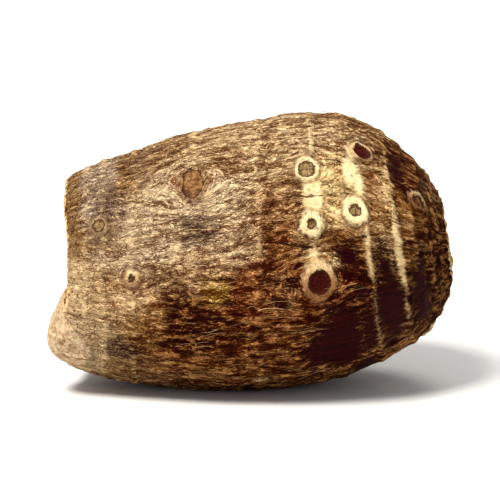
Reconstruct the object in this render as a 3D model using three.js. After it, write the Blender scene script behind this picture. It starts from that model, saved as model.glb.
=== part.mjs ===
// A single taro corm, lying on its side on a small flat spot. Millimetres, +Z up.
// +X runs from the blunt base end to the crown, where the leaf stalks were trimmed off.
// The origin is at the middle of the corm's box, on the surface that it rests on.
//
// The corm grew as one piece, so it is one solid: a turned outline with a ridge at each node,
// which is then bent along its growing line, lumped, and flattened where it rests.
import * as THREE from "three";

const { smoothstep, degToRad } = THREE.MathUtils;

// Outline: radius against the distance s along the corm from its base end.
const LENGTH = 112.4; // base end face to crown cut
const WIDEST_AT = 68;
const WIDEST_RADIUS = 40.3;
const BASE_TAPER = 0.0028; // the base half is a parabola: radius lost per mm squared from there
const CROWN_REACH = 45.7; // the crown half is a rounded curve of this half length
const CROWN_FULLNESS = 2.06; // 2 would be an ellipse
const DEPTH_SHARE = 0.96; // the corm is this much narrower across than it is tall

// Base end: a blunt, slightly hollow face with a rounded edge.
const BASE_EDGE = 6;
const BASE_HOLLOW = 1.6;
const BASE_WAVE = 0.9; // how far the rim of the face wavers
const BASE_WAVE_FADE = 18; // the waver is gone this far along

// Crown: a trimmed stub, cut nearly flat.
const STUB_RADIUS = 11.8;
const STUB_HEIGHT = 1.4;
const STUB_FLARE = 1.2; // its foot is this much wider than its top
const CUT_BEVEL = 0.8;
const CUT_DISH = 0.5;

// Nodes: the leaf scars that ring the corm, closer together towards the crown.
const NODES = [5, 10.5, 19, 36.5, 55.5, 72.5, 88, 97, 102, 105.8, 109];
const NODE_HALF_WIDTH = 1.2;
const NODE_HEIGHT = 0.6;

// Side buds, each on a node: distance along the corm, degrees round from the top towards -Y,
// and the radius of the swelling that carries it.
const BUDS = [
  [9, 54, 3.5],
  [19, 84, 3.5],
  [19, 250, 4.5],
  [36.5, 41, 5.5],
  [36.5, 205, 5],
  [55.5, 300, 5.5],
  [71, 42, 5],
  [71.5, 67, 4],
  [73, 93, 6],
  [72.5, 225, 5],
  [89.5, 29, 5],
  [86.5, 65, 4.5],
  [88, 285, 5.5],
  [97, 245, 4.5],
  [105.8, 48, 4.5],
  [102, 165, 4],
];
const BUD_HEIGHT = 0.9;

// Lumps: waves around the corm that take it out of round. Each has its number of waves,
// its height as a share of the radius, where it starts (radians) and how it turns along the corm.
const LUMPS = [
  { waves: 2, height: 0.013, start: 0.6, turnPerMm: 0 },
  { waves: 3, height: 0.011, start: 0, turnPerMm: 1 / 25 },
  { waves: 5, height: 0.008, start: 0, turnPerMm: -1 / 18 },
];

// Flat: the widest part is a little flattened on top. Its middle, how far it spreads, its depth.
const FLAT_AT = 76;
const FLAT_ANGLE = degToRad(350);
const FLAT_REACH = 27;
const FLAT_DEPTH = 1.3;

// Growing line: it rises along the base half and turns up towards the crown.
const BASE_CENTRE_HEIGHT = 35;
const RISE = 5.9;
const RISE_LENGTH = 95;
const CROWN_RISE = 5;
const CROWN_TILT = degToRad(11);
const TILT_FROM = 52;

// Base lobe: the corky heel, low on the near side, where the corm broke from its parent.
const LOBE_ANGLE = degToRad(145);
const LOBE_RADIUS_AT = 22;
const LOBE_SPREAD = 7.3;
const LOBE_REACH = 5.6;
const LOBE_FADE = 34; // the heel has run out into the corm this far along

// Facets.
const AROUND = 80;
const ROW_STEP = 4.5; // longest distance between two rows of facets
const BASE_ROWS = [0.25, 0.5, 0.72, 0.9]; // rows on the base face, as shares of its radius
const EDGE_TURN = 30; // degrees of the base face's rounded edge to a row
const POLE_CALM = 12; // nearer the middle of an end than this, the waves and swellings die away

function outlineRadius(s) {
  if (s < WIDEST_AT) return WIDEST_RADIUS - BASE_TAPER * (WIDEST_AT - s) ** 2;
  const share = (s - WIDEST_AT) / CROWN_REACH;
  return WIDEST_RADIUS * (1 - share ** CROWN_FULLNESS) ** (1 / CROWN_FULLNESS);
}

// The half outline, from the middle of the base face to the middle of the crown cut.
function outlinePoints() {
  const edgeRadius = outlineRadius(BASE_EDGE) - BASE_EDGE;
  const at = (s, radius) => new THREE.Vector2(radius, s);
  const points = [at(BASE_HOLLOW, 0)];
  for (const share of BASE_ROWS) {
    points.push(at(BASE_HOLLOW * (1 - share ** 2), edgeRadius * share));
  }
  for (let turn = 0; turn < 90; turn += EDGE_TURN) {
    const a = degToRad(turn);
    points.push(at(BASE_EDGE * (1 - Math.cos(a)), edgeRadius + BASE_EDGE * Math.sin(a)));
  }

  NODES.forEach((node, i) => {
    points.push(at(node - NODE_HALF_WIDTH, outlineRadius(node - NODE_HALF_WIDTH)));
    points.push(at(node, outlineRadius(node) + NODE_HEIGHT));
    points.push(at(node + NODE_HALF_WIDTH, outlineRadius(node + NODE_HALF_WIDTH)));
    if (i === NODES.length - 1) return;
    const from = node + NODE_HALF_WIDTH;
    const gap = NODES[i + 1] - NODE_HALF_WIDTH - from;
    const rows = Math.ceil(gap / ROW_STEP);
    for (let row = 1; row < rows; row++) {
      const s = from + (gap * row) / rows;
      points.push(at(s, outlineRadius(s)));
    }
  });

  points.push(at(LENGTH - STUB_HEIGHT, STUB_RADIUS + STUB_FLARE));
  points.push(at(LENGTH - CUT_BEVEL / 2, STUB_RADIUS));
  points.push(at(LENGTH, STUB_RADIUS - CUT_BEVEL));
  points.push(at(LENGTH - CUT_DISH * 0.75, STUB_RADIUS / 2));
  points.push(at(LENGTH - CUT_DISH, 0));
  return points;
}

// The distance round the corm between two angles.
function arcBetween(angle, other, radius) {
  const turn = Math.abs(angle - other);
  return Math.min(turn, 2 * Math.PI - turn) * radius;
}

// How far the skin stands out at a place, apart from the node ridges.
function swelling(s, angle, radius) {
  const flatArc = arcBetween(angle, FLAT_ANGLE, radius);
  let out = -FLAT_DEPTH * Math.exp(-((s - FLAT_AT) ** 2 + flatArc ** 2) / FLAT_REACH ** 2);
  for (const { waves, height, start, turnPerMm } of LUMPS) {
    out += radius * height * Math.sin(waves * angle + start + turnPerMm * s);
  }
  for (const [budS, budDegrees, budRadius] of BUDS) {
    const arc = arcBetween(angle, degToRad(budDegrees), radius);
    out += BUD_HEIGHT * Math.exp(-((s - budS) ** 2 + arc ** 2) / budRadius ** 2);
  }
  return out * smoothstep(radius, 0, POLE_CALM);
}

// How far the base end reaches out towards -X: the waver of its rim, and the heel.
function baseReach(s, angle, radius, up, across) {
  const wave = Math.sin(3 * angle + 1) * smoothstep(radius, 0, POLE_CALM);
  const lobeUp = up - LOBE_RADIUS_AT * Math.cos(LOBE_ANGLE);
  const lobeAcross = across + LOBE_RADIUS_AT * Math.sin(LOBE_ANGLE);
  const lobe = Math.exp(-(lobeUp ** 2 + lobeAcross ** 2) / (2 * LOBE_SPREAD ** 2));
  return (
    BASE_WAVE * wave * (1 - smoothstep(s, 0, BASE_WAVE_FADE)) +
    LOBE_REACH * lobe * (1 - smoothstep(s, 0, LOBE_FADE))
  );
}

// Moves a point of the turned outline to its place on the corm.
function shaped(point) {
  const s = point.x;
  const radius = Math.hypot(point.y, point.z);
  const angle = (Math.atan2(-point.y, point.z) + 2 * Math.PI) % (2 * Math.PI);
  const bodyRadius = radius + swelling(s, angle, radius);
  const up = bodyRadius * Math.cos(angle);
  const across = -bodyRadius * Math.sin(angle) * DEPTH_SHARE;

  const crownward = smoothstep(s, TILT_FROM, LENGTH);
  const tilt = CROWN_TILT * crownward;
  const rise = RISE * smoothstep(s, 0, RISE_LENGTH) + CROWN_RISE * crownward;
  return new THREE.Vector3(
    s - up * Math.sin(tilt) - baseReach(s, angle, radius, up, across),
    across,
    BASE_CENTRE_HEIGHT + rise + up * Math.cos(tilt),
  );
}

function cormGeometry() {
  const geometry = new THREE.LatheGeometry(outlinePoints(), AROUND);
  geometry.rotateZ(-Math.PI / 2); // the turning axis now runs along +X
  const position = geometry.getAttribute("position");
  const point = new THREE.Vector3();
  for (let i = 0; i < position.count; i++) {
    point.copy(shaped(point.fromBufferAttribute(position, i)));
    position.setXYZ(i, point.x, point.y, Math.max(point.z, 0)); // flat where it rests
  }

  geometry.computeBoundingBox();
  const middle = geometry.boundingBox.getCenter(new THREE.Vector3());
  geometry.translate(-middle.x, -middle.y, 0);
  geometry.computeVertexNormals();
  return geometry;
}

const skin = new THREE.MeshStandardMaterial({ color: 0x8f6a42, roughness: 0.85, metalness: 0 });
const corm = new THREE.Mesh(cormGeometry(), skin);
corm.name = "corm";

const taro = new THREE.Group();
taro.add(corm);

export default taro;
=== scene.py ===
"""A whole taro corm lying on its side: its skin, scars and fibres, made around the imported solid."""
import math
from functools import partial

import bpy
import numpy as np
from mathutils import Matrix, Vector, noise
from mathutils.bvhtree import BVHTree


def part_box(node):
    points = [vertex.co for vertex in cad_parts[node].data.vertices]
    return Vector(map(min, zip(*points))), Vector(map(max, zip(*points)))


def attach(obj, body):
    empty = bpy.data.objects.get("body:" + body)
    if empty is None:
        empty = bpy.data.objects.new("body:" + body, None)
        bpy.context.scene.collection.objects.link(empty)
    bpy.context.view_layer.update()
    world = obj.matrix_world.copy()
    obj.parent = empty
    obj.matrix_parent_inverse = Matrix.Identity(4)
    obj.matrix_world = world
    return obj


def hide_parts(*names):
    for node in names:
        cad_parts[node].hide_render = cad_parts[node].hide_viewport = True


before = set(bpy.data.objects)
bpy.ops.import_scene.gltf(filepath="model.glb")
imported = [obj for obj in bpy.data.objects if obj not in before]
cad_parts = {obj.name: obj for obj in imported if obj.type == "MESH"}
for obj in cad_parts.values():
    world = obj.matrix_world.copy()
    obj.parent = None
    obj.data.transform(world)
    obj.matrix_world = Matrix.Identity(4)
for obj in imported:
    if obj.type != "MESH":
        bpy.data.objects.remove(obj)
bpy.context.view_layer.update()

# ---- Camera
# It stands level with the long side, a little above the corm and looking slightly down, so that
# the base end is on the left and the crown on the right.
MM = 0.001
CAMERA_ELEVATION = math.radians(12)
CAMERA_DISTANCE = 1.3
CAMERA_LENS = 315
CAMERA_SEES_FROM = 0.01


def add_object(name, data):
    """Puts an object made of this camera, light or mesh in the scene."""
    made = bpy.data.objects.new(name, data)
    bpy.context.scene.collection.objects.link(made)
    return made


box_low, box_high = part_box("corm")
corm_middle = (box_low + box_high) / 2

camera = add_object("camera", bpy.data.cameras.new("camera"))
camera.data.lens = CAMERA_LENS
camera.data.clip_start = CAMERA_SEES_FROM
to_camera = Vector((0, -math.cos(CAMERA_ELEVATION), math.sin(CAMERA_ELEVATION)))
camera.location = corm_middle + to_camera * CAMERA_DISTANCE
camera.rotation_euler = to_camera.to_track_quat("Z", "Y").to_euler()
bpy.context.scene.camera = camera
bpy.context.scene.view_settings.view_transform = "Standard"


# ---- Floor and studio light
# A pale matt table, a wide soft light high on the left of the camera, a narrower one over the
# back of the corm for its upper edge, and a pale room that fills the shadows.
def srgb(red, green, blue):
    """A colour given as screen values from 0 to 255, as the linear colour that shaders take."""
    shares = np.array([red, green, blue]) / 255
    linear = np.where(shares <= 0.04045, shares / 12.92, ((shares + 0.055) / 1.055) ** 2.4)
    return (*linear.tolist(), 1.0)


def add_node(tree, kind, inputs, **settings):
    """Adds a node. Each input is a plain value, or the output socket that feeds it."""
    made = tree.nodes.new(kind)
    for name, value in settings.items():
        setattr(made, name, value)
    for key, value in inputs.items():
        if isinstance(value, bpy.types.NodeSocket):
            tree.links.new(value, made.inputs[key])
        else:
            made.inputs[key].default_value = value
    return made


def new_material(name):
    """An empty material with a Principled shader on its output."""
    material = bpy.data.materials.new(name)
    material.use_nodes = True
    tree = material.node_tree
    tree.nodes.clear()
    shader = add_node(tree, "ShaderNodeBsdfPrincipled", {})
    add_node(tree, "ShaderNodeOutputMaterial", {"Surface": shader.outputs["BSDF"]})
    return material, tree, shader


FLOOR_SIZE = 12
FLOOR_DROP = 0.05 * MM  # keeps the floor's face clear of the corm's flat spot

half = FLOOR_SIZE / 2
floor_sides = ((-half, -half), (half, -half), (half, half), (-half, half))
floor_corners = [(x, y, -FLOOR_DROP) for x, y in floor_sides]
floor_mesh = bpy.data.meshes.new("floor")
floor_mesh.from_pydata(floor_corners, [], [(0, 1, 2, 3)])
floor = add_object("floor", floor_mesh)
floor_paint, floor_tree, floor_shader = new_material("floor_paint")
floor_shader.inputs["Base Color"].default_value = srgb(230, 229, 225)
floor_shader.inputs["Roughness"].default_value = 0.9
floor_mesh.materials.append(floor_paint)


def area_light(name, place, size, watts, colour):
    """A soft square light that points at the corm."""
    light = add_object(name, bpy.data.lights.new(name, "AREA"))
    light.data.size = size
    light.data.energy = watts
    light.data.color = colour
    light.location = place
    light.rotation_euler = (Vector(place) - corm_middle).to_track_quat("Z", "Y").to_euler()


# The size of each is the side of its square in metres, and its power is in watts.
area_light("key_light", (-0.85, -0.95, 2.2), 0.8, 96, (1.0, 0.97, 0.93))
area_light("top_light", (0.3, 0.9, 2.0), 0.9, 18, (1.0, 0.98, 0.95))

room = bpy.data.worlds.new("room")
room.use_nodes = True
bpy.context.scene.world = room
room_glow = room.node_tree.nodes["Background"]
room_glow.inputs["Color"].default_value = srgb(245, 246, 250)
room_glow.inputs["Strength"].default_value = 0.5


# ---- The corm: its form
# The swollen underground stem of a taro plant, grown as one piece. Its form is read from the
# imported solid: lines are cast outwards from the line it grew along, and the facets are smoothed.
# Every length from here to the mesh is in millimetres.
AROUND = 420  # points round the corm
ALONG = 231  # rings of points from the base end to the crown
LEAN = math.radians(11)  # how far the last rings lean back, as the crown turns up
LEAN_FROM = 52  # distance along the corm where they start to lean
FIRST_CENTRE = 16  # the two ends are read from these places on the growing line
LAST_CENTRE = 103
LINE_INSETS = (8, 14)  # the growing line's height is measured from here to here, off each end
LINE_STEPS = 20
OUTLINE_INSETS = (1.5, 2)  # and the outline likewise, which narrows by as much on the ends
OUTLINE_STEPS = 60
OUTLINE_SPOKES = 16
SOFTEN_ROUNDS = 26
FORM_WAVES = 0.16  # waves round a ring near an end, for each square mm of its radius squared
LEAST_FORWARD_STEP = 0.15
RELIEF_WAVES = 3.0  # the relief keeps at least this many waves for each mm of a ring's radius

corm_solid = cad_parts["corm"]
solid = BVHTree.FromPolygons(
    [vertex.co / MM for vertex in corm_solid.data.vertices],
    [tuple(face.vertices) for face in corm_solid.data.polygons])


def reach(origin, direction):
    """How far the skin of the solid is from a place inside it."""
    return solid.ray_cast(Vector(origin), Vector(direction).normalized())[3]


def ease(value, start, end):
    """Rises smoothly from 0 at start to 1 at end."""
    share = np.clip((value - start) / (end - start), 0, 1)
    return share * share * (3 - 2 * share)


# The growing line: where it starts and ends, and its height at each distance along.
middle_height = corm_middle.z / MM
base_x = -reach((0, 0, middle_height), (-1, 0, 0))
length = reach((0, 0, middle_height), (1, 0, 0)) - base_x
line_places = np.linspace(LINE_INSETS[0], length - LINE_INSETS[1], LINE_STEPS)
line_heights = []
for place in line_places:
    start = (base_x + place, 0, middle_height)
    line_heights.append(middle_height + (reach(start, (0, 0, 1)) - reach(start, (0, 0, -1))) / 2)
growing_line = np.polyfit(line_places, line_heights, 3)


def ring_frame(place):
    """At a distance along: the centre, the way forward and the way up, with the ring's lean."""
    lean = LEAN * float(ease(place, LEAN_FROM, length))
    centre = np.array([base_x + place, 0, np.polyval(growing_line, place)])
    forward = np.array([math.cos(lean), 0, math.sin(lean)])
    up = np.array([-math.sin(lean), 0, math.cos(lean)])
    return centre, forward, up


# The average outline from the middle of the base end to the middle of the crown, and the rings
# of points spaced evenly along it.
NEAR_SIDE = np.array([0.0, -1.0, 0.0])
outline = [(0.0, 0.0)]
for place in np.linspace(OUTLINE_INSETS[0], length - OUTLINE_INSETS[1], OUTLINE_STEPS):
    centre, forward, up = ring_frame(place)
    turns = np.linspace(0, 2 * math.pi, OUTLINE_SPOKES, endpoint=False)
    spokes = [reach(centre, up * math.cos(a) + NEAR_SIDE * math.sin(a)) for a in turns]
    outline.append((place, float(np.mean(spokes))))
outline.insert(1, (0.0, outline[1][1] - OUTLINE_INSETS[0]))
outline.append((length, outline[-1][1] - OUTLINE_INSETS[1]))
outline.append((length, 0.0))
outline = np.array(outline)
outline_arc = np.concatenate([[0], np.cumsum(np.hypot(*np.diff(outline, axis=0).T))])
arc = np.linspace(0, outline_arc[-1], ALONG + 2)[1:-1]
ring_place = np.interp(arc, outline_arc, outline[:, 0])
ring_radius = np.interp(arc, outline_arc, outline[:, 1])

angle = np.linspace(0, 2 * math.pi, AROUND, endpoint=False)  # from the top, towards -Y
centres, ways = np.empty((ALONG, 1, 3)), np.empty((ALONG, AROUND, 3))
forward_share, out_share = np.empty((ALONG, 1)), np.empty((ALONG, 1))
centre_place = np.clip(ring_place, FIRST_CENTRE, LAST_CENTRE)[:, None]
for row in range(ALONG):
    centre, _, _ = ring_frame(float(centre_place[row, 0]))
    _, forward, up = ring_frame(ring_place[row])
    ahead = ring_place[row] - centre_place[row, 0]
    size = math.hypot(ahead, ring_radius[row])
    forward_share[row], out_share[row] = ahead / size, ring_radius[row] / size
    spokes = np.outer(np.cos(angle), up) + np.outer(np.sin(angle), NEAR_SIDE)
    centres[row] = centre
    ways[row] = forward * forward_share[row] + spokes * out_share[row]


def soften(grid, rounds):
    """Smooths a grid over the skin: it wraps round the corm and stops at its two ends."""
    for _ in range(rounds):
        grid = (np.roll(grid, 1, axis=1) + 2 * grid + np.roll(grid, -1, axis=1)) / 4
        padded = np.concatenate([grid[:1], grid, grid[-1:]])
        grid = (padded[:-2] + 2 * grid + padded[2:]) / 4
    return grid


def keep_waves(grid, most_waves):
    """Smooths each ring of a grid until it has no more than about so many waves round it."""
    waves = np.fft.rfft(grid, axis=1)
    gone_at = 1.6 * most_waves + 2  # the waves above the most die away up to here
    waves *= 1 - ease(np.arange(waves.shape[1]), most_waves, gone_at)
    return np.fft.irfft(waves, AROUND, axis=1)


# The rings near the middle of each end are small, so they keep only the wide waves of the form.
form_waves = FORM_WAVES * ring_radius[:, None] ** 2
spans = np.array([[reach(centres[row, 0], way) for way in ways[row]] for row in range(ALONG)])
spans = keep_waves(soften(spans, SOFTEN_ROUNDS), form_waves)
form = centres + ways * spans[:, :, None]
along = centre_place + spans * forward_share  # distance along the corm, at every point
radius = spans * out_share
degrees = np.degrees(angle)[None, :] + 0 * along
forward_steps = np.maximum(np.gradient(along.mean(axis=1)), LEAST_FORWARD_STEP)
steepness = (np.gradient(arc) / forward_steps)[:, None]  # mm over the skin for each mm along
from_base = arc[:, None] + 0 * along  # distance over the skin from the middle of each end
from_crown = outline_arc[-1] - from_base


def laid_round(girth_radius, round_angle, shorten=1.0):
    """A seamless way to lay noise on the skin: along the fibres, and on a ring of this radius."""
    return np.stack([
        from_base * shorten,
        girth_radius * np.sin(round_angle),
        girth_radius * np.cos(round_angle)], axis=-1)


GIRTH_RADIUS = 38
fibre_way = laid_round(GIRTH_RADIUS, np.radians(degrees))


def noise_at(points):
    """Smooth noise from -1 to 1 at a grid of points."""
    return np.array([noise.noise(point) for point in points.reshape(-1, 3).tolist()]).reshape(along.shape)


def waver(size_along, size_around, seed):
    """Noise over the skin with lumps of these sizes. Each seed gives lumps of its own."""
    sizes = np.array([size_along, size_around, size_around])
    return noise_at(fibre_way / sizes + np.array([seed, seed * 1.7, 0]))


def lumps(size, seed):
    """Noise over the skin with lumps that are as long as they are wide, even at the ends."""
    return noise_at(form / size + seed)


def degrees_from(turn):
    """How far round each point is from an angle, in degrees from -180 to 180."""
    return (degrees - turn + 180) % 360 - 180


def around_from(turn):
    """How far round the corm each point is from an angle in degrees, over the skin."""
    return np.radians(degrees_from(turn)) * radius


def forward_from(place):
    """How far towards the crown each point is from a distance along, over the skin."""
    return (along - place) * steepness


def bell(distance, width):
    """A smooth bump: 1 at no distance, and nearly nothing at twice its width."""
    return np.exp(-(distance / width) ** 2)


# ---- The corm: its node rings
# Each leaf leaves a scar right round the stem when it withers. The scars are cream where the
# husk has been rubbed off them, and brown elsewhere. They crowd together towards the crown.
# Each ring: its distance along, how far it wanders, its height, and its cream stretches, which
# are start and end in degrees and half their width.
RINGS = [
    (5, 0.5, 0.3, []),
    (10.5, 0.6, 0.35, []),
    (19, 0.8, 0.45, [(76, 92, -0.1), (190, 222, 0.5)]),
    (36.5, 0.9, 0.35, [(160, 200, 0.7), (255, 330, 0.4)]),
    (55.5, 0.7, 0.5, [(200, 262, 0.3), (250, 300, 0.8)]),
    (72.5, 0.5, 0.35, [(14, 36, -0.2), (48, 62, 1.2), (60, 79, -0.1), (178, 218, 1.2), (240, 320, 0.5)]),
    (88.2, 0.4, 0.4, [(26, 38, 0.2), (62, 98, 0.6), (70, 156, -0.2), (196, 270, 1.0), (296, 345, 0.6)]),
    (97, 0.3, 0.5, [
        (14, 50, -0.2), (40, 116, 0.7), (54, 98, 1.25), (100, 134, -0.1), (150, 232, 0.7),
        (262, 340, 0.9)]),
    (102, 0.3, 0.45, [(178, 236, 0.1), (280, 350, 0.0)]),
    (105.8, 0.25, 0.4, [(200, 300, -0.2)]),
    (109, 0.2, 0.35, []),
]
NO_SCAR = -1.5  # half width where a ring has no cream stretch
SCAR_FADE = 5  # degrees over which a cream stretch starts and ends, and more if it is long
LONG_FADE = 0.3  # the share of a long stretch over which it tapers
BACK_WANDER = 1.6  # how much more a ring wanders on the far side
BELLY_HEIGHT = 0.35  # how far the skin swells between two rings
BEAD_HEIGHT = 0.3
FAR_AWAY = 99.0

relief = np.zeros_like(along)
scar = np.full_like(along, NO_SCAR)
ring_gap = np.full_like(along, FAR_AWAY)
ring_shade = np.zeros_like(along)
ring_lines = []
scar_waver = 0.4 * waver(6, 5, 7.7) + 0.3 * waver(5, 1.8, 7.9)
uneven = np.clip(0.7 + 0.8 * waver(9, 7, 3.1) + 0.6 * waver(4, 3, 4.1), 0, 1.6)
bead = np.zeros_like(along)
beads = ease(waver(2.0, 1.5, 8.8), 0.05, 0.45)
at_back = ease(np.abs(degrees_from(60)), 70, 150)
for number, (place, wander, height, stretches) in enumerate(RINGS):
    line = place + wander * waver(400, 16, 11.3 + number) + 0.35 * waver(400, 3.2, 40.1 + number)
    line += BACK_WANDER * wander * at_back * waver(400, 24, 70.6 + number)
    ring_lines.append(line)
    gap = forward_from(line)
    # A ridge with a furrow on its crown side, and small beads along it.
    relief += height * uneven * (bell(gap, 1.0) - 0.5 * bell(gap - 2.2, 1.2))
    relief += BEAD_HEIGHT * beads * bell(gap, 1.5)
    bead = np.maximum(bead, beads * bell(gap, 1.1))
    ring_gap = np.minimum(ring_gap, np.abs(gap))
    ring_shade = np.maximum(ring_shade, uneven * bell(gap - 2.6, 1.7))
    for start, end, half_width in stretches:
        fade = max(SCAR_FADE, LONG_FADE * (end - start))
        inside = (end - start) / 2 - np.abs(degrees_from((start + end) / 2))
        inside = ease(inside + 4 * waver(9, 6, 21.7 + number), 0, fade)
        wide = NO_SCAR + (half_width - NO_SCAR) * inside + scar_waver
        scar = np.maximum(scar, wide - np.abs(gap))

for line, next_line in zip(ring_lines, ring_lines[1:]):
    share = np.clip((along - line) / (next_line - line), 0, 1)
    relief += BELLY_HEIGHT * np.sin(math.pi * share) * np.clip((next_line - line) / 14, 0.3, 1)


# ---- The corm: its side buds
# One or more small buds sit on each ring, and would grow into new corms. Each is a dark or grey
# eye in a raised corky collar, which is cream where it has been rubbed clean.
# Each bud: distance along, degrees round, collar radius, eye radius, stretch along the corm, its
# eye's colour (0 is maroon, 0.5 brown and 1 grey), and how pale its collar is.
BUDS = [
    (9, 54, 2.7, 1.9, 1, 0.8, 0.1),
    (18.8, 84, 2.6, 1.1, 1, 0.6, 0.4),
    (19, 250, 3.2, 1.7, 1.1, 0.5, 0.5),
    (36.4, 40.5, 6, 5.2, 0.64, 0.45, 0),
    (36.5, 205, 4, 2, 1, 0.6, 0.8),
    (55.5, 300, 4.2, 2.4, 1.1, 0.1, 0.7),
    (56, 150, 3, 1.4, 1, 0.5, 0.15),
    (71, 42, 4.2, 2.9, 1, 0.95, 0.86),
    (71.6, 67.5, 3.8, 1.7, 0.95, 0.75, 0.95),
    (72.9, 92.5, 6.1, 3.9, 0.82, 0, 0.45),
    (72.5, 225, 4.4, 2.2, 1, 0, 0.9),
    (89.8, 29, 3.4, 2.7, 1, 0, 0.55),
    (85.4, 61.5, 4.3, 2, 1, 0.85, 1),
    (88, 285, 4.5, 2.4, 1, 0.5, 0.9),
    (88.3, 178, 3.4, 1.6, 1, 0.1, 0.7),
    (97, 245, 3.6, 1.8, 1, 0.3, 0.8),
    (105.6, 45.5, 2.8, 1.9, 1.5, 0.25, 0.45),
    (102, 165, 3, 1.5, 1, 0.4, 0.6),
    (102, 330, 3, 1.4, 1, 0.6, 0.6),
]
COLLAR_HEIGHT = 0.75
EYE_DEPTH = 0.55
TIP_HEIGHT = 0.5
FOOT_DEPTH = 0.25
FAR_OUTSIDE = -9.0  # the depth inside a mark of a point that is nowhere near it

wobble = 0.2 * waver(4.5, 4.5, 5.5) + 0.06 * waver(2.2, 2.2, 6.5)
collar = np.full_like(along, FAR_OUTSIDE)
eye = np.full_like(along, FAR_OUTSIDE)
eye_grey = np.zeros_like(along)
collar_pale = np.zeros_like(along)
nearest_bud = np.full_like(along, FAR_AWAY)
for place, turn, collar_radius, eye_radius, stretch, grey, pale in BUDS:
    gap = np.hypot(forward_from(place) / stretch, around_from(turn)) * (1 + wobble)
    middle = (collar_radius + eye_radius) / 2
    width = 0.45 * (collar_radius - eye_radius) + 0.45
    # A raised collar, a sunk eye with a tip in its middle, and a furrow round the collar's foot.
    relief += COLLAR_HEIGHT * (0.65 + 0.35 * pale) * bell(gap - middle, width)
    relief -= EYE_DEPTH * ease(eye_radius - gap, -0.4, 1.0)
    relief += TIP_HEIGHT * bell(gap, 0.55 * eye_radius)
    relief -= FOOT_DEPTH * bell(gap - collar_radius - 0.6, 0.8)
    nearer = gap < nearest_bud
    nearest_bud = np.where(nearer, gap, nearest_bud)
    eye_grey = np.where(nearer, grey, eye_grey)
    lower_side = around_from(turn) / np.maximum(gap, 1)
    collar_pale = np.where(nearer, pale - 0.5 * (1 - pale) * lower_side, collar_pale)
    collar = np.maximum(collar, collar_radius - gap)
    eye = np.maximum(eye, eye_radius - gap)

# The fibres part to pass round each bud, as grain does round a knot. Where the corm narrows they
# are laid again on a smaller ring, so that they keep their width there.
PARTING = 1.35  # how far out the fibres are pushed aside, in collar radii
END_GIRTH_RADIUS = 16
END_SHORTEN = 1.9
END_RADII = (18, 30)  # the lay changes where the corm is this thin

parted = np.radians(degrees)
for place, turn, collar_radius, *_ in BUDS:
    aside = around_from(turn)
    gap = np.hypot(forward_from(place), aside)
    parted = parted - aside / radius * bell(gap, PARTING * collar_radius)
fibre_way = laid_round(GIRTH_RADIUS, parted)
end_way = laid_round(END_GIRTH_RADIUS, parted, END_SHORTEN)
end_share = 1 - ease(radius, *END_RADII)


# ---- The corm: its worn patches
# Digging and washing rub the fibre off. Where it is worn through to the flesh the skin is smooth
# and cream, and where only the husk is left it is smooth and dark maroon.
# Each patch: distance along, degrees round, half its length and half its width round the corm.
CREAM_PATCHES = [
    (72.2, 55.5, 2.9, 5.2),
    (71.8, 48.5, 1.6, 2.2),
    (72, 80.5, 1.5, 2.6),
    (85, 42.5, 2.6, 4.2),
    (87.6, 47, 1.4, 5),
    (87, 29.5, 2, 2.8),
    (73, 215, 2.2, 4.5),
    (88.5, 268, 2.4, 5.5),
    (56, 288, 1.6, 4),
    (36.8, 196, 1.8, 3.6),
    (97, 236, 1.6, 3.6),
]
HUSK_PATCHES = [
    (76.8, 129, 8.2, 12.5),
    (78.8, 118, 5.6, 9),
    (72.6, 130.5, 5.2, 9.5),
    (86, 124, 3.4, 11),
    (92.6, 112, 5.2, 19),
    (92.4, 90, 3.2, 9),
    (81.8, 82, 5, 3.8),
    (81, 88, 2.4, 3.4),
    (84.6, 101, 2, 5),
    (66, 93, 2.8, 2.4),
    (59.6, 90, 2.6, 2.2),
    (62.6, 101.5, 4.2, 2.3),
    (50.3, 116, 3.4, 1.8),
    (101.8, 113, 4.2, 14),
    (100.6, 27, 3.4, 6.4),
    (107.4, 34, 1.7, 7),
    (104, 104, 1.8, 12),
    (84, 158, 4.6, 8),
    (92.6, 205, 3, 14),
    (99.6, 260, 1.9, 16),
    (104, 230, 1.6, 12),
    (64, 195, 5.2, 6),
    (80, 250, 4.4, 6.5),
    (46, 262, 3.4, 4),
    (92.5, 318, 2.6, 9),
    (64.5, 330, 3, 3.6),
    (28, 168, 3.2, 4),
]
HUSK_AT_RINGS = 2.0  # a patch counts as no deeper than this on a ring, so it breaks up there


def patch_depth(patches, ragged):
    """How far inside the nearest patch each point is. Outside every patch it is negative."""
    deepest = np.full_like(along, FAR_OUTSIDE)
    for place, turn, half_length, half_width in patches:
        share = np.hypot(forward_from(place) / half_length, around_from(turn) / half_width)
        deepest = np.maximum(deepest, (1 - share) * min(half_length, half_width))
    return deepest + ragged


edge_waver = 0.9 * waver(6, 5, 60.0) + 0.6 * waver(5, 2.4, 61.0) + 0.4 * waver(2.4, 1.2, 62.0)
cream = np.maximum(patch_depth(CREAM_PATCHES, 0.7 * edge_waver), scar)
husk = patch_depth(HUSK_PATCHES, 1.3 * edge_waver)
husk = np.minimum(husk, ring_gap + HUSK_AT_RINGS)


# ---- The corm: its two ends
# The base end is a flat scar of grainy dead flesh, where the corm broke from its parent, with a
# pale corky heel low on the near side. The crown cut is where a knife took off the leaf stalks.
HEEL_RADIUS = 16
BASE_SCAR_RADIUS = 24
CUT_RADIUS = 11.6
CROWN_SCALES = 1.9  # spacing of the last leaf scars, from the cut outwards
CROWN_SCALES_END = 30


def ridged(values, gap_width):
    """Runs from 0 in thin gaps, where the values pass nought, to 1 on the ridges between them."""
    return np.minimum(np.abs(values) / gap_width, 1)


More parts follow.
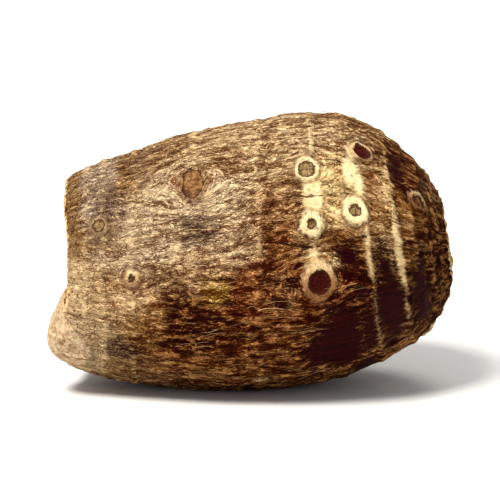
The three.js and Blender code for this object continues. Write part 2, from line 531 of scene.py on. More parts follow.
# The flesh is grainy inside a curled rim of skin, the cork is wrinkled, and low scales ring the
# crown cut.
heel_tip = form.reshape(-1, 3)[form[:, :, 0].argmin()]
from_heel = np.linalg.norm(form - heel_tip, axis=2)
cork = HEEL_RADIUS - from_heel + 3.0 * lumps(9, 70.0) + 1.2 * lumps(3.5, 69.0)
base_scar = BASE_SCAR_RADIUS - from_base + 2.2 * lumps(11, 71.0) + 0.8 * lumps(4, 72.0)
crown_cut = CUT_RADIUS - from_crown + 1.5 * lumps(6, 73.0)
in_cork = ease(cork, -0.6, 1.2)
scar_rim = np.maximum(base_scar, crown_cut)
relief += (1 - in_cork) * (0.5 * bell(scar_rim - 0.2, 0.9) - 0.75 * bell(scar_rim - 2.0, 0.9))
flesh = np.minimum(scar_rim, 3 * (0.5 - cork))
in_flesh = ease(flesh, -0.4, 0.8)
relief += in_flesh * (0.5 * lumps(5, 76.0) + 0.4 * lumps(1.7, 77.0) + 0.3 * lumps(0.9, 78.0))
wrinkles = ridged(lumps(3.4, 75.0) + 0.4 * lumps(1.5, 68.0), 0.22)
relief += in_cork * (0.5 * lumps(5, 74.0) + 0.4 * wrinkles)
scale_wave = np.sin(2 * math.pi * (from_crown + 1.2 * waver(40, 7, 79.0)) / CROWN_SCALES)
scaly = (1 - ease(from_crown, 14, CROWN_SCALES_END)) * (1 - in_flesh)
relief += 0.32 * scaly * scale_wave * (0.6 + 0.8 * uneven)


# ---- The corm: cracks and root scars
# The skin splits along its fibres as it dries. Each crack is a line of places: distance along and
# degrees round. Thin roots broke off all over, and each left a small round scar.
CRACKS = [
    [(64.5, 86), (66.5, 82), (68.5, 78), (72, 76.5), (78, 75.5), (84.5, 74), (88, 73)],
    [(56, 76.5), (60.5, 74.5), (66, 76), (69, 77.5)],
    [(62.5, 55), (67, 54), (77, 55.5), (84, 54)],
    [(35.5, 88), (42.5, 87.2), (50.5, 88.6)],
    [(37.5, 98.5), (48, 99)],
    [(76, 36), (83, 37.5)],
    [(90, 84), (95.5, 86)],
    [(60, 212), (70, 215), (80, 213)],
    [(24, 262), (35, 259), (44, 261)],
    [(74, 300), (84, 303)],
    [(40, 338), (52, 335.5)],
]
CRACK_HALF_WIDTH = 0.26
CRACK_DEPTH = 0.5
ROOT_SCARS = 150
ROOT_SCAR_SEED = 7
ROOT_SCAR_SIZES = (0.45, 0.8)
ROOTED_RINGS = RINGS[2:7]
ROOTED_SPREAD = 3.5  # how far the root scars lie from those rings

crack = np.full_like(along, FAR_OUTSIDE)
crack_sway = 0.9 * waver(6, 6, 81.0) + 0.5 * waver(1.6, 1.6, 82.0)
crack_width = CRACK_HALF_WIDTH + 0.4 * waver(4, 4, 83.0)
for places in CRACKS:
    for (place_a, turn_a), (place_b, turn_b) in zip(places, places[1:]):
        share = np.clip((along - place_a) / (place_b - place_a), 0, 1)
        turn = turn_a + (turn_b - turn_a) * share
        past_end = along - (place_a + (place_b - place_a) * share)
        gap = np.hypot(around_from(turn) + crack_sway, past_end)
        crack = np.maximum(crack, crack_width - gap)

dice = np.random.default_rng(ROOT_SCAR_SEED)
root_scar = np.full_like(along, FAR_OUTSIDE)
for _ in range(ROOT_SCARS):
    place = dice.choice([ring[0] for ring in ROOTED_RINGS]) + dice.normal(0, ROOTED_SPREAD)
    turn = dice.uniform(0, 360)
    size = dice.uniform(*ROOT_SCAR_SIZES)
    root_scar = np.maximum(root_scar, size - np.hypot(forward_from(place), around_from(turn)))
relief += 0.3 * bell(root_scar + 0.1, 0.35) - 0.35 * ease(root_scar, 0.0, 0.4)

# The fibrous skin itself: wide lumps, folds that run along the corm, and finer cords on them.
# It is smoother where the fibre has gone.
fibrous = 1 - 0.85 * ease(husk, -0.4, 0.5)
fibrous *= 1 - 0.6 * ease(cream, -0.3, 0.5)
fibrous *= (1 - 0.8 * in_cork) * (1 - in_flesh) * (1 - 0.9 * ease(collar, -0.8, 0.4))
folds = ridged(waver(15, 3.6, 91.0) + 0.35 * waver(5, 1.8, 92.0), 0.3)
cords = ridged(waver(6.5, 1.9, 93.0) + 0.3 * waver(3, 1.3, 96.0), 0.3)
# Painted shade for the grooves: between folds and cords, between crown scales, in cork wrinkles.
groove_shade = fibrous * (1 - 0.5 * folds - 0.5 * cords) + 0.9 * scaly * ease(-scale_wave, 0.2, 1)
groove_shade += in_cork * (1 - wrinkles)
relief += 0.45 * lumps(14, 94.0) + 0.25 * lumps(7, 95.0)
relief += fibrous * (0.3 * folds + 0.26 * cords)
relief -= 0.22 * ease(husk, -0.2, 0.4) + 0.12 * ease(cream, -0.2, 0.4)
relief -= CRACK_DEPTH * ease(crack, -0.35, 0.3)
relief = keep_waves(relief, np.maximum(form_waves, RELIEF_WAVES * ring_radius[:, None]))


# ---- The corm: its colours
# Dry fibre is tan, and greyer at the base end. It is darker low down, partly in its own colour
# and partly as painted shade. Each stain or patch of painted shade: distance along, degrees
# round, half length, half width, colour and strength.
SKIN_COLOUR = (144, 106, 64)
STAINS_AND_SHADE = [
    (62, 18, 38, 24, (180, 145, 102), 0.9),
    (34, 62, 26, 22, (202, 172, 136), 0.9),
    (79, 52, 10, 12, (216, 180, 118), 0.9),
    (60, 62, 9, 12, (156, 110, 66), 0.8),
    # The next five, low on the near side: darker skin, partly painted shade.
    (64, 106, 38, 19, (128, 68, 26), 0.95),
    (60, 122, 36, 14, (112, 53, 19), 0.95),
    (66, 152, 42, 24, (108, 62, 26), 0.9),
    (36, 116, 20, 12, (106, 54, 18), 0.9),
    (35, 108, 11, 13, (80, 34, 12), 0.85),
    (20, 106, 9, 12, (164, 116, 62), 0.85),
    (62, 88, 6, 18, (140, 84, 40), 0.85),
    (84, 106, 11, 18, (90, 28, 9), 0.95),
    (77.5, 124, 11, 12, (82, 34, 10), 0.85),
    (82, 78, 8, 6, (138, 82, 32), 0.8),
    (102, 66, 7, 22, (150, 98, 40), 0.95),
    (92.6, 56, 3, 13, (182, 132, 76), 0.85),
    # The next three: painted shadow on the crown end, over its darker skin.
    (104, 18, 5, 12, (84, 24, 10), 0.9),
    (106, 118, 10, 20, (66, 20, 7), 0.9),
    (108, 82, 6, 16, (92, 50, 22), 0.8),
    (101, 126, 7, 15, (50, 13, 6), 0.9),
    (91.6, 120, 3.6, 22, (58, 15, 8), 0.85),
    # Painted shadow on the crown's top, over its dark red skin.
    (102, 30, 6, 9, (92, 26, 12), 0.85),
    (96.6, 38, 1.7, 9, (222, 184, 116), 0.8),
    # The next two: painted shade in the furrow beside the ring at 55.5.
    (58.8, 70, 2.4, 16, (110, 66, 32), 0.55),
    (60, 95, 2.4, 12, (92, 42, 18), 0.55),
    (106, 200, 12, 60, (88, 44, 20), 0.8),
    # Painted shadow on the crown's top, over its browner skin.
    (100, 20, 8, 14, (112, 66, 30), 0.8),
    (9, 28, 6, 22, (172, 148, 124), 0.9),
    (13, 44, 5, 9, (130, 100, 78), 0.75),
    (22, 12, 6, 9, (148, 114, 84), 0.7),
    (3, 116, 13, 22, (222, 188, 142), 0.9),
    (14, 96, 9, 8, (208, 168, 120), 0.8),
    (37, 82, 11, 6.5, (150, 106, 62), 0.7),
    (46, 69, 8, 8, (154, 120, 84), 0.65),
    (26, 86, 8, 6, (150, 110, 72), 0.6),
    (73.6, 83.5, 5.6, 3.0, (232, 194, 128), 0.95),
    # Painted shade along the top edge, over slightly browner skin.
    (90, 4, 12, 12, (142, 104, 62), 0.6),
    # Painted shadow beside the heel's lobe.
    (15.5, 127, 6, 6, (108, 80, 60), 0.85),
    (38, 64, 6, 5.5, (112, 90, 74), 0.8),
    (36.2, 41.5, 5.5, 4.5, (134, 82, 46), 0.8),
    (43, 93.5, 4.8, 4.4, (158, 120, 38), 0.85),
    (30, 230, 24, 34, (140, 100, 58), 0.8),
    (70, 290, 26, 34, (162, 124, 78), 0.7),
    (78, 215, 20, 22, (100, 54, 22), 0.8),
]

# Near the base end the fibre is rubbed short, and its pattern is fainter.
worn_short = 1 - ease(along + 6 * waver(14, 9, 103.0), 4, 34)

# Flecks of bare husk show between the fibres in these places: distance along, degrees round,
# half length, half width and how thick they lie.
FLECKED = [
    (64, 90, 8, 22, 0.66),
    (44, 112, 20, 14, 0.7),
    (50, 96, 8, 8, 0.7),
    (80, 110, 11, 18, 0.72),
    (102, 72, 10, 42, 0.68),
    (62, 205, 22, 26, 0.62),
    (86, 250, 14, 28, 0.66),
    (34, 320, 16, 16, 0.5),
    (104, 220, 9, 50, 0.66),
]

skin_colour_and_shade = np.tile(srgb(*SKIN_COLOUR)[:3], (*along.shape, 1))
stain_and_shade_edge = 0.3 * waver(14, 6, 101.0) + 0.2 * waver(5, 2, 102.0)


def stain_and_shade_share(place, turn, half_length, half_width):
    """How far out from the middle of a stain or of painted shade each point is: 1 at its edge."""
    return np.hypot((along - place) / half_length, around_from(turn) / half_width) + stain_and_shade_edge


for *oval, colour, strength in STAINS_AND_SHADE:
    cover = strength * (1 - ease(stain_and_shade_share(*oval), 0.55, 1.2))[:, :, None]
    skin_colour_and_shade = skin_colour_and_shade * (1 - cover) + np.array(srgb(*colour)[:3]) * cover

fleck = np.zeros_like(along)
for *oval, thickness in FLECKED:
    fleck = np.maximum(fleck, thickness * (1 - ease(stain_and_shade_share(*oval), 0.4, 1.25)))


# ---- The corm: its mesh
# The form with its relief on it, closed at both ends, and flat where it rests. The marks above
# become attributes for the material, and the map is one strip unrolled from the base end.
def outward_normals(points):
    """The direction out of the skin at every point of the grid."""
    down = np.gradient(points, axis=0)
    across = np.roll(points, -1, axis=1) - np.roll(points, 1, axis=1)
    normals = np.cross(across, down)
    normals /= np.linalg.norm(normals, axis=2, keepdims=True)
    facing = np.sum(normals * (points - points.mean(axis=(0, 1))), axis=2).mean()
    return normals * np.sign(facing)


skin = form + outward_normals(form) * relief[:, :, None]
skin[:, :, 2] = np.maximum(skin[:, :, 2], 0)
skin_normals = outward_normals(skin)
base_pole = skin[0].mean(axis=0)
crown_pole = skin[-1].mean(axis=0)


def tube(rings, sides, rows_up):
    """The faces of a closed tube, and their corners on its map: one strip, unrolled.

    Its points are numbered ring by ring, and the middles of its two ends come last.
    """
    faces, maps = [], []
    first_end, last_end, last_ring = rings * sides, rings * sides + 1, (rings - 1) * sides
    for column in range(sides):
        beside = (column + 1) % sides
        left, right = column / sides, (column + 1) / sides
        middle = (left + right) / 2
        faces.append((first_end, column, beside))
        maps.append(((middle, rows_up[0]), (left, rows_up[1]), (right, rows_up[1])))
        for row in range(rings - 1):
            ring, next_ring = row * sides, (row + 1) * sides
            faces.append((ring + column, next_ring + column, next_ring + beside, ring + beside))
            low, high = rows_up[row + 1], rows_up[row + 2]
            maps.append(((left, low), (left, high), (right, high), (right, low)))
        faces.append((last_ring + column, last_end, last_ring + beside))
        maps.append(((left, rows_up[-2]), (middle, rows_up[-1]), (right, rows_up[-2])))
    return faces, maps


def add_bake_map(mesh, maps):
    """Gives a mesh its map: a place on it for each corner of each face."""
    values = [value for face in maps for corner in face for value in corner]
    mesh.uv_layers.new(name="OFBake").data.foreach_set("uv", values)


vertices = np.concatenate([skin.reshape(-1, 3), [base_pole, crown_pole]]) * MM
rows_up = np.concatenate([[0], arc, [outline_arc[-1]]]) / outline_arc[-1]
faces, face_maps = tube(ALONG, AROUND, rows_up)
corm_mesh = bpy.data.meshes.new("corm_skin")
corm_mesh.from_pydata(vertices.tolist(), [], faces)
add_bake_map(corm_mesh, face_maps)
corm_mesh.shade_smooth()


# Each mark is kept on the mesh under its name, with a value for each pole at the end.
marks = dict(
    cream=cream, husk=husk, cork=cork, flesh=flesh, crack=crack, root_scar=root_scar,
    collar=collar, collar_pale=collar_pale, eye=eye, eye_grey=eye_grey, ring_shade=ring_shade,
    bead=bead, fleck=fleck, groove_shade=groove_shade, worn_short=worn_short, skin_colour_and_shade=skin_colour_and_shade,
    fibre_way=fibre_way, end_way=end_way, end_share=end_share)
for name, grid in marks.items():
    kind, field = ("FLOAT_VECTOR", "vector") if grid.ndim == 3 else ("FLOAT", "value")
    poles = [grid[0].mean(axis=0), grid[-1].mean(axis=0)]
    values = np.concatenate([grid.ravel(), np.ravel(poles)])
    corm_mesh.attributes.new(name, kind, "POINT").data.foreach_set(field, values)

corm_skin = add_object("corm_skin", corm_mesh)


# ---- The corm: its material
# Tan fibres lie over darker gaps, and the fibre is missing from the worn patches, the eyes, the
# cork and the cut. Each edge is broken up by fine noise.
def wired(kind, inputs, **settings):
    """Adds a node beside the nodes whose outputs feed it."""
    outputs = [value for value in inputs.values() if isinstance(value, bpy.types.NodeSocket)]
    return add_node(outputs[0].id_data, kind, inputs, **settings)


def maths(operation, first, second=0.0):
    return wired("ShaderNodeMath", {0: first, 1: second}, operation=operation).outputs[0]


plus, minus, times, larger = (
    partial(maths, operation) for operation in ("ADD", "SUBTRACT", "MULTIPLY", "MAXIMUM"))


def off(value, middle):
    """How far a value is from another, either way."""
    return maths("ABSOLUTE", minus(value, middle))


def between(value, low, high, to_low=0.0, to_high=1.0):
    """Takes a value that runs from low to high smoothly to one from to_low to to_high."""
    made = wired(
        "ShaderNodeMapRange",
        {"Value": value, "From Min": low, "From Max": high, "To Min": to_low, "To Max": to_high},
        interpolation_type="SMOOTHSTEP")
    return made.outputs["Result"]


def swing(value, amount):
    """Takes a noise to one that swings from -amount to amount."""
    return between(value, 0.3, 0.7, -amount, amount)


def mix_values(amount, first, second):
    """Passes from the first value to the second as the amount goes from 0 to 1."""
    return wired("ShaderNodeMix", {0: amount, 2: first, 3: second}).outputs[0]


def blend(amount, first, second, kind="MIX"):
    """Mixes two colours."""
    inputs = {0: amount, 6: first, 7: second}
    return wired("ShaderNodeMix", inputs, data_type="RGBA", blend_type=kind).outputs[2]


def vector_maths(operation, first, second):
    return wired("ShaderNodeVectorMath", {0: first, 1: second}, operation=operation).outputs[0]


def scaled(vector, scale):
    return wired("ShaderNodeVectorMath", {0: vector, "Scale": scale}, operation="SCALE").outputs[0]


def attribute(tree, name, output="Fac"):
    return add_node(tree, "ShaderNodeAttribute", {}, attribute_name=name).outputs[output]


def place_in_mm(tree):
    """Where each point of the piece is, in millimetres."""
    return scaled(add_node(tree, "ShaderNodeTexCoord", {}).outputs["Object"], 1 / MM)


def noise_value(way, scale, detail=3.0, roughness=0.55):
    inputs = {"Vector": way, "Scale": scale, "Detail": detail, "Roughness": roughness}
    return wired("ShaderNodeTexNoise", inputs).outputs["Fac"]


def stretched(way, per_mm_along, per_mm_across):
    """A place on the skin, scaled apart along the fibres and across them."""
    return vector_maths("MULTIPLY", way, (per_mm_along, per_mm_across, per_mm_across))


def drawn_noise(way, per_mm_along, per_mm_across, detail=3.0, roughness=0.6):
    """Noise that is drawn out along the fibres."""
    return noise_value(stretched(way, per_mm_along, per_mm_across), 1.0, detail, roughness)


# Fibres: wavy cords and finer strands that run along the corm, as heights from 0 in the thin
# gaps between them to 1 on their backs, and two slower noises that tint them. Each size is how
# many fit in a mm along and across, and for the fibres also how wide their gaps are.
FIBRE_SIZES = [("Cords", 0.14, 0.75, 0.065), ("Strands", 0.5, 2.0, 0.09)]
TINT_SIZES = [("Mottle", 0.22, 0.6), ("Patches", 0.07, 0.22)]
FIBRE_OUTPUTS = ("Cords", "Strands", "Mottle", "Patches")
FIBRE_WAVER = 3.5  # how far the fibres sway aside, in mm

fibre_group = bpy.data.node_groups.new("fibres", "ShaderNodeTree")
fibre_group.interface.new_socket("Way", in_out="INPUT", socket_type="NodeSocketVector")
fibre_group.interface.new_socket("Waver", in_out="INPUT", socket_type="NodeSocketFloat")
for name in FIBRE_OUTPUTS:
    fibre_group.interface.new_socket(name, in_out="OUTPUT", socket_type="NodeSocketFloat")
fibre_in = fibre_group.nodes.new("NodeGroupInput")
fibre_out = fibre_group.nodes.new("NodeGroupOutput")
straight_way = fibre_in.outputs["Way"]
sway = wired(
    "ShaderNodeTexNoise", {"Vector": stretched(straight_way, 0.22, 0.3), "Scale": 1.0, "Detail": 2.0})
sway = vector_maths("SUBTRACT", sway.outputs["Color"], (0.5, 0.5, 0.5))
sway = scaled(sway, fibre_in.outputs["Waver"])
swayed_way = vector_maths("ADD", straight_way, sway)
for name, per_mm_along, per_mm_across, gap_width in FIBRE_SIZES:
    lay = drawn_noise(swayed_way, per_mm_along, per_mm_across, 2.5)
    height = between(off(lay, 0.5), 0.0, gap_width)
    fibre_group.links.new(height, fibre_out.inputs[name])
for name, per_mm_along, per_mm_across in TINT_SIZES:
    tint = drawn_noise(straight_way, per_mm_along, per_mm_across, 3.5)
    fibre_group.links.new(tint, fibre_out.inputs[name])

corm_paint, tree, shader = new_material("corm_skin")
way = attribute(tree, "fibre_way", "Vector")
skin_place = place_in_mm(tree)

# The fibres pass from the body's lay to the narrow ends' lay.
body_lay, end_lay = (
    wired("ShaderNodeGroup", {"Way": lay, "Waver": FIBRE_WAVER}, node_tree=fibre_group)
    for lay in (way, attribute(tree, "end_way", "Vector")))
at_end = attribute(tree, "end_share")
cord, strand, mottle, patchy = (
    mix_values(at_end, body_lay.outputs[name], end_lay.outputs[name])
    for name in FIBRE_OUTPUTS)
fibre_height = times(plus(cord, strand), 0.5)
fine = noise_value(skin_place, 2.2, 3.0, 0.6)
speckle = noise_value(skin_place, 0.9, 4.0, 0.65)
ragged = minus(drawn_noise(way, 0.5, 1.3, roughness=0.65), 0.5)
ragged_edge = times(ragged, 1.2)


def mask(name, soft, fibre_share):
    """A patch as a mask from 0 to 1. Its edge is broken up by noise and by the fibres' heights."""
    over = times(minus(fibre_height, 0.55), fibre_share)
    depth = plus(plus(attribute(tree, name), ragged_edge), over)
    return between(depth, -soft, soft)


# Fibrous skin: the local colour, lightened on the fibres and deepened in the gaps. Where the
# skin is dark there are more gaps, and where the fibre is worn short there is a net of fine lines.
local_colour_and_shade = attribute(tree, "skin_colour_and_shade", "Vector")
lightness = wired("ShaderNodeRGBToBW", {"Color": local_colour_and_shade}).outputs["Val"]
painted_groove_shade = attribute(tree, "groove_shade")
wear = attribute(tree, "worn_short")
mottling = times(between(mottle, 0.32, 0.68, -0.4, 0.4), between(lightness, 0.03, 0.2, 1.5, 1.0))
fibre_light = plus(plus(fibre_height, swing(patchy, 0.3)), mottling)
fibre_light = plus(fibre_light, between(lightness, 0.02, 0.4, -0.12, 0.05))
# Painted shade in the grooves.
fibre_light = minus(fibre_light, times(painted_groove_shade, 0.35))
fibre_light = mix_values(times(wear, 0.5), fibre_light, 0.75)
off_net = off(noise_value(skin_place, 0.42, 3.0, 0.6), 0.5)
net_lines = times(between(off_net, 0.0, 0.035, 0.75, 0.0), wear)
fibre_light = minus(fibre_light, net_lines)
gap_depth = blend(between(lightness, 0.05, 0.3), (0.22, 0.075, 0.03, 1), (0.33, 0.2, 0.115, 1))
gap_colour = blend(1.0, local_colour_and_shade, gap_depth, "MULTIPLY")
bright_colour = vector_maths("MULTIPLY", local_colour_and_shade, (1.7, 1.63, 1.5))
pale_colour = blend(between(lightness, 0.03, 0.3), srgb(206, 148, 82), srgb(242, 213, 164))
crest_colour = blend(0.6, bright_colour, pale_colour)
skin_paint = blend(between(fibre_light, 0.05, 0.55), gap_colour, local_colour_and_shade)
skin_paint = blend(between(fibre_light, 0.6, 1.1), skin_paint, crest_colour)
shade = times(attribute(tree, "ring_shade"), between(patchy, 0.35, 0.65, 0.0, 0.5))
skin_paint = blend(shade, skin_paint, gap_colour)
bead_mask = between(attribute(tree, "bead"), 0.15, 0.6, 0.0, 0.8)
skin_paint = blend(bead_mask, skin_paint, crest_colour)

# Husk: smooth dark maroon, with faint streaks along it.
husk_streaks = drawn_noise(way, 0.12, 1.2)
husk_paint = blend(between(husk_streaks, 0.35, 0.75), srgb(28, 2, 3), srgb(48, 4, 4))
fleck_depth = drawn_noise(way, 0.16, 0.42, 4.0)
fleck_depth = plus(fleck_depth, times(attribute(tree, "fleck"), 0.35))
fleck_depth = plus(fleck_depth, times(ragged, 0.12))
husk_mask = larger(mask("husk", 1.5, -2.6), between(fleck_depth, 0.8, 0.88))
skin_paint = blend(husk_mask, skin_paint, husk_paint)

# Cream scars and worn patches, duller between their strands. Where the skin is dark they are
# darkened to tan with painted shade.
cream_grain = between(times(plus(strand, fine), 0.5), 0.2, 0.8)
cream_paint = blend(cream_grain, srgb(226, 190, 130), srgb(249, 230, 176))
cream_wear = minus(between(mottle, 0.35, 0.65, 0.3, 0.0), between(strand, 0.3, 0.7, 0.0, 0.2))
cream_paint = blend(cream_wear, cream_paint, srgb(214, 174, 118))
cream_shade = between(lightness, 0.03, 0.3, 0.6, 0.0)
cream_paint = blend(cream_shade, cream_paint, srgb(180, 134, 84))
cream_mask = mask("cream", 0.9, 0.7)
skin_paint = blend(cream_mask, skin_paint, cream_paint)

# Bud collars: pale where they are worn clean, speckled with the skin's own colour elsewhere, with
# painted shade in the furrow round their foot.
collar_depth = attribute(tree, "collar")
paleness = attribute(tree, "collar_pale")
collar_edge = plus(collar_depth, swing(speckle, 0.5))
collar_strength = between(paleness, 0.0, 0.8, 0.35, 0.95)
collar_mask = times(between(collar_edge, -0.7, 0.9), collar_strength)
collar_light = blend(paleness, srgb(160, 96, 40), srgb(252, 226, 172))
collar_dark = blend(1.0, collar_light, (0.5, 0.34, 0.2, 1), "MULTIPLY")
collar_grain = minus(mix_values(0.4, speckle, fine), mix_values(paleness, 0.54, 0.39))
collar_paint = blend(between(collar_grain, -0.1, 0.08), collar_dark, collar_light)
collar_skin = between(paleness, 0.3, 0.9, 0.5, 0.0)
collar_paint = blend(collar_skin, collar_paint, crest_colour)
collar_foot_shade = times(between(collar_depth, -1.6, -0.5), 0.6)
skin_paint = blend(collar_foot_shade, skin_paint, gap_colour)
skin_paint = blend(collar_mask, skin_paint, collar_paint)

# Bud eyes: maroon, brown or grey, with a dark line round each. The skin's fibres run over the
# edge of the brown ones.
eye_tone = attribute(tree, "eye_grey")
eye_depth = plus(attribute(tree, "eye"), swing(speckle, 0.35))
eye_grain = between(plus(fine, speckle), 0.8, 1.15)
eye_dark = blend(eye_grain, srgb(36, 5, 5), srgb(68, 18, 10))
eye_brown = blend(eye_grain, srgb(86, 54, 30), srgb(146, 106, 64))
dark_part = between(noise_value(skin_place, 0.28, 2.0, 0.5), 0.45, 0.6, 0.0, 0.8)
eye_brown = blend(dark_part, eye_brown, srgb(74, 44, 26))
eye_pale = blend(eye_grain, srgb(74, 56, 30), srgb(158, 132, 88))
eye_paint = blend(between(eye_tone, 0.0, 0.5), eye_dark, eye_brown)
eye_paint = blend(between(eye_tone, 0.5, 1.0), eye_paint, eye_pale)
eye_rim = between(eye_depth, 0.2, 1.1, 0.9, 0.0)
eye_paint = blend(eye_rim, eye_paint, srgb(56, 28, 14))
overlap = times(minus(fibre_light, 0.5), between(off(eye_tone, 0.45), 0.05, 0.15, -1.2, 0.0))
eye_mask = between(plus(eye_depth, overlap), -0.2, 0.25)
skin_paint = blend(eye_mask, skin_paint, eye_paint)

# Cork on the heel, with painted shade in its wrinkles and a grey-green line along its edge.
cork_grain = noise_value(skin_place, 0.5, 5.0, 0.65)
cork_tone = minus(minus(cork_grain, times(painted_groove_shade, 0.14)), times(net_lines, 0.25))
cork_paint = blend(between(cork_tone, 0.25, 0.6), srgb(184, 146, 108), srgb(246, 216, 176))
cork_depth = attribute(tree, "cork")
cork_mask = between(plus(cork_depth, swing(speckle, 1.5)), -2.0, 2.4, 0.0, 0.85)
skin_paint = blend(cork_mask, skin_paint, cork_paint)
off_edge = off(plus(cork_depth, ragged_edge), 0.2)
edge_line = times(between(off_edge, 0.2, 1.0, 0.6, 0.0), between(patchy, 0.4, 0.6))
skin_paint = blend(edge_line, skin_paint, srgb(92, 82, 54))

# The flesh of the two ends: golden grains with dark specks, a broken maroon ring, a pale rim.
flesh_grain = noise_value(skin_place, 1.0, 4.0, 0.75)
flesh_paint = blend(between(flesh_grain, 0.4, 0.52), srgb(104, 74, 34), srgb(200, 166, 104))
flesh_paint = blend(between(flesh_grain, 0.52, 0.64), flesh_paint, srgb(244, 220, 164))
flesh_tone = noise_value(skin_place, 0.14, 3.0, 0.5)
flesh_shade = between(flesh_tone, 0.35, 0.7, 0.0, 0.6)
flesh_paint = blend(flesh_shade, flesh_paint, srgb(140, 108, 62))
flesh_depth = plus(attribute(tree, "flesh"), swing(speckle, 0.8))
ring_mask = between(off(flesh_depth, 2.0), 0.4, 1.2, 0.9, 0.0)
ring_mask = times(ring_mask, between(flesh_tone, 0.42, 0.52, 0.1, 1.0))
flesh_paint = blend(ring_mask, flesh_paint, srgb(70, 24, 12))
rim_mask = between(flesh_depth, 0.4, 1.4, 0.7, 0.0)
flesh_paint = blend(rim_mask, flesh_paint, srgb(212, 178, 132))
flesh_mask = between(flesh_depth, -1.0, -0.4)
skin_paint = blend(flesh_mask, skin_paint, flesh_paint)

# Cracks and root scars.
crack_mask = between(attribute(tree, "crack"), -0.12, 0.14, 0.0, 0.85)
skin_paint = blend(crack_mask, skin_paint, srgb(50, 27, 16))
dot_mask = between(attribute(tree, "root_scar"), -0.05, 0.25, 0.0, 0.6)
skin_paint = blend(dot_mask, skin_paint, srgb(62, 36, 22))
tree.links.new(skin_paint, shader.inputs["Base Color"])

# Gloss: dry fibre is matt, and the bare husk and the eyes have a low shine.
shiny = larger(husk_mask, eye_mask)
roughness = plus(between(shiny, 0.0, 1.0, 0.8, 0.5), swing(fine, 0.06))
tree.links.new(roughness, shader.inputs["Roughness"])
shader.inputs["Specular IOR Level"].default_value = 0.02

# Fine relief under the size of the mesh: strands, weaker where they are rubbed off, and grain.
bare = larger(shiny, flesh_mask)
for worn, share in ((collar_mask, 0.7), (cork_mask, 0.6), (cream_mask, 0.85)):
    bare = larger(bare, times(worn, share))
strand_relief = times(fibre_height, minus(1.0, times(bare, 0.95)))
strand_bump = wired("ShaderNodeBump", {"Height": strand_relief, "Distance": 0.8 * MM, "Strength": 1.0})
grain_relief = plus(fine, times(cork_mask, cork_grain))
grain_relief = plus(grain_relief, times(times(flesh_mask, flesh_grain), 4.0))
grain_bump = wired(
    "ShaderNodeBump",
    {"Height": grain_relief, "Distance": 0.12 * MM, "Strength": 0.8, "Normal": strand_bump.outputs[0]})
tree.links.new(grain_bump.outputs[0], shader.inputs["Normal"])

corm_mesh.materials.append(corm_paint)
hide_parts("corm")
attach(corm_skin, "root")


# ---- Its loose threads
# Threads of the husk that digging and washing pulled partly free. Each is a thin tapered strand,
# rooted in the skin at one end, which lies along the fibres and lifts a little at the other.
THREADS = 300
THREAD_SEED = 23
THREAD_LENGTHS = (4, 12)
THREAD_RADII = (0.07, 0.14)
THREAD_LIFTS = (0.2, 1.3)  # how far the free end stands off the skin
LIFT_POWER = 1.6
ROOT_SHOWS = 0.12  # how far the root end stands out of the skin
THREAD_BEND = 0.09  # how far a thread usually bends aside, as a share of its length
THREAD_CURL = 0.25
CURL_TURN = 5
THREAD_TAPER = 0.75
TIP_SHARE = 0.6  # the length of a tip, as a share of a step
THREAD_STEPS = 10
THREAD_SIDES = 4
LOWEST_ROOT = 6  # threads are rooted at least this high,
CLEAR_OF_LINE = 13  # this far out from the growing line,
CLEAR_OF_BUDS = 11  # and this far from the middle of each bud
MAP_COLUMNS = 12  # the map gives each thread a cell of its own in this many columns
MAP_ROWS = math.ceil(THREADS / MAP_COLUMNS)
CELL_MARGINS = np.array([0.05, 0.1])

dice = np.random.default_rng(THREAD_SEED)
holds_fibre = (fibrous > 0.75) & (skin[:, :, 2] > LOWEST_ROOT)
holds_fibre &= (radius > CLEAR_OF_LINE) & (nearest_bud > CLEAR_OF_BUDS)
roots = dice.choice(np.argwhere(holds_fibre), THREADS, replace=False)
around_steps = np.arange(THREAD_SIDES) * 2 * math.pi / THREAD_SIDES
steps = np.linspace(0, 1, THREAD_STEPS)


def on_skin(grid, row, column):
    """A grid's value between its rows and columns."""
    row = float(np.clip(row, 0, ALONG - 1.001))
    low, left = int(row), math.floor(column)
    up, aside = row - low, column - left
    corners = grid[low:low + 2, [left % AROUND, (left + 1) % AROUND]]
    first, second = corners[:, 0] * (1 - aside) + corners[:, 1] * aside
    return first * (1 - up) + second * up


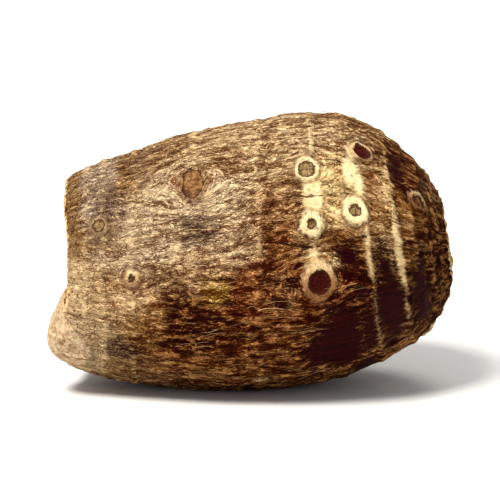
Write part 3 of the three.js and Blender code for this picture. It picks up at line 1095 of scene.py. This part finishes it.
thread_points, thread_faces, thread_maps, thread_tones = [], [], [], []
tube_faces, tube_maps = tube(THREAD_STEPS, THREAD_SIDES, np.linspace(0, 1, THREAD_STEPS + 2))
for number, (row, column) in enumerate(roots):
    thread_length, thickness, lift = (
        dice.uniform(*span) for span in (THREAD_LENGTHS, THREAD_RADII, THREAD_LIFTS))
    heading, bend, curl = dice.choice([-1, 1]), dice.normal(0, THREAD_BEND), dice.uniform(0, 2 * math.pi)
    middles, outs = [], []
    for t in steps:
        place_row = np.interp(arc[row] + heading * thread_length * t, arc, np.arange(ALONG))
        aside = bend * thread_length * t ** 2 + THREAD_CURL * math.sin(curl + CURL_TURN * t)
        place_column = column + aside / radius[row, column] * AROUND / (2 * math.pi)
        out = on_skin(skin_normals, place_row, place_column)
        stand = -thickness + ROOT_SHOWS + lift * t ** LIFT_POWER
        middles.append(on_skin(skin, place_row, place_column) + out * stand)
        outs.append(out)
    forwards = np.gradient(np.array(middles), axis=0)
    sides = np.cross(forwards, outs)
    sides /= np.linalg.norm(sides, axis=1, keepdims=True)

    first_point = len(thread_points)
    for middle, side, out, t in zip(middles, sides, outs, steps):
        size = thickness * (1 - THREAD_TAPER * t)
        for turn in around_steps:
            thread_points.append(middle + size * (math.cos(turn) * side + math.sin(turn) * out))
    thread_points.append(middles[0] - TIP_SHARE * forwards[0])
    thread_points.append(middles[-1] + TIP_SHARE * forwards[-1])
    thread_tones += [dice.uniform(0, 1)] * (len(thread_points) - first_point)
    thread_faces += [[first_point + corner for corner in face] for face in tube_faces]

    # The tube's map is turned on its side, to lie along the thread's cell.
    cell_corner = CELL_MARGINS + (number % MAP_COLUMNS, number // MAP_COLUMNS)
    for face in tube_maps:
        places = cell_corner + (1 - 2 * CELL_MARGINS) * np.array(face)[:, ::-1]
        thread_maps.append(places / (MAP_COLUMNS, MAP_ROWS))

threads_mesh = bpy.data.meshes.new("loose_threads")
threads_mesh.from_pydata((np.array(thread_points) * MM).tolist(), [], thread_faces)
add_bake_map(threads_mesh, thread_maps)
tones = threads_mesh.attributes.new("tone", "FLOAT", "POINT")
tones.data.foreach_set("value", thread_tones)
threads_mesh.shade_smooth()
loose_threads = add_object("loose_threads", threads_mesh)

# Thread: tan to dark brown from one to the next, with darker stretches along each.
thread_paint, tree, shader = new_material("loose_threads")
thread_place = place_in_mm(tree)
thread_colour = blend(attribute(tree, "tone"), srgb(92, 54, 28), srgb(206, 164, 112))
stretch_dark = between(noise_value(thread_place, 0.5), 0.4, 0.65, 0.0, 0.6)
thread_colour = blend(stretch_dark, thread_colour, srgb(74, 42, 22))
tree.links.new(thread_colour, shader.inputs["Base Color"])
thread_rough = between(noise_value(thread_place, 2.0), 0.3, 0.7, 0.7, 0.9)
tree.links.new(thread_rough, shader.inputs["Roughness"])
shader.inputs["Specular IOR Level"].default_value = 0.1

threads_mesh.materials.append(thread_paint)
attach(loose_threads, "root")
